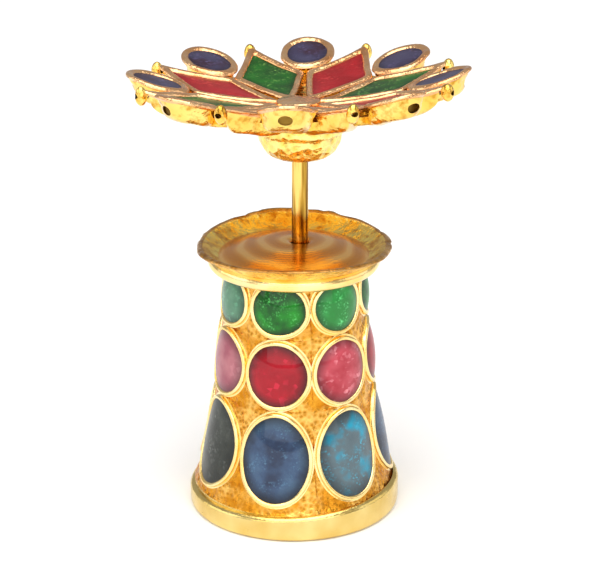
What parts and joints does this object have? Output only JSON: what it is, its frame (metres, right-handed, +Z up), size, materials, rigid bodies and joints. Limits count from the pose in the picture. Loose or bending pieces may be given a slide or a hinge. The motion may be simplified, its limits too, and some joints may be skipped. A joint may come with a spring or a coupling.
{
  "type": "meenakari ear stud with enamelled flower and drum-shaped back",
  "caption": "Ear stud: a cupped flower of enamelled petals on a round post, pushed into a tapered, enamelled drum that is its back and stands on its foot.",
  "frame": {"origin": "middle of the drum's foot, on the surface that it stands on", "axes": "+Z up along the post, from the drum's foot to the flower; -Y is the side that faces the viewer"},
  "size_m": [0.0225, 0.0224, 0.0312],
  "materials": {
    "gold": "polished gold plating over brass",
    "enamel_green": "glossy translucent enamel over foil",
    "enamel_red": "glossy translucent enamel",
    "enamel_blue": "glossy translucent enamel"
  },
  "bodies": {
    "ear_back": {"base_cap": "gold", "drum": "gold", "drum_enamel_blue_1": "enamel_blue", "drum_enamel_blue_2": "enamel_blue", "drum_enamel_blue_3": "enamel_blue", "drum_enamel_blue_4": "enamel_blue", "drum_enamel_blue_5": "enamel_blue", "drum_enamel_blue_6": "enamel_blue", "drum_enamel_blue_7": "enamel_blue", "drum_enamel_green_1": "enamel_green", "drum_enamel_green_2": "enamel_green", "drum_enamel_green_3": "enamel_green", "drum_enamel_green_4": "enamel_green", "drum_enamel_green_5": "enamel_green", "drum_enamel_green_6": "enamel_green", "drum_enamel_green_7": "enamel_green", "drum_enamel_red_1": "enamel_red", "drum_enamel_red_2": "enamel_red", "drum_enamel_red_3": "enamel_red", "drum_enamel_red_4": "enamel_red", "drum_enamel_red_5": "enamel_red", "drum_enamel_red_6": "enamel_red", "drum_enamel_red_7": "enamel_red"},
    "ear_stud": {"flower_frame": "gold", "kite_enamel_green_1": "enamel_green", "kite_enamel_green_3": "enamel_green", "kite_enamel_green_5": "enamel_green", "kite_enamel_green_7": "enamel_green", "kite_enamel_red_2": "enamel_red", "kite_enamel_red_4": "enamel_red", "kite_enamel_red_6": "enamel_red", "kite_enamel_red_8": "enamel_red", "oval_enamel_blue_1": "enamel_blue", "oval_enamel_blue_2": "enamel_blue", "oval_enamel_blue_3": "enamel_blue", "oval_enamel_blue_4": "enamel_blue", "oval_enamel_blue_5": "enamel_blue", "oval_enamel_blue_6": "enamel_blue", "oval_enamel_blue_7": "enamel_blue", "oval_enamel_blue_8": "enamel_blue"}
  },
  "joints": [
    {"name": "post_slide", "type": "slide", "parent": "ear_back", "child": "ear_stud", "axis": [0, 0, 1], "range_m": [0, 0.0075]}
  ]
}
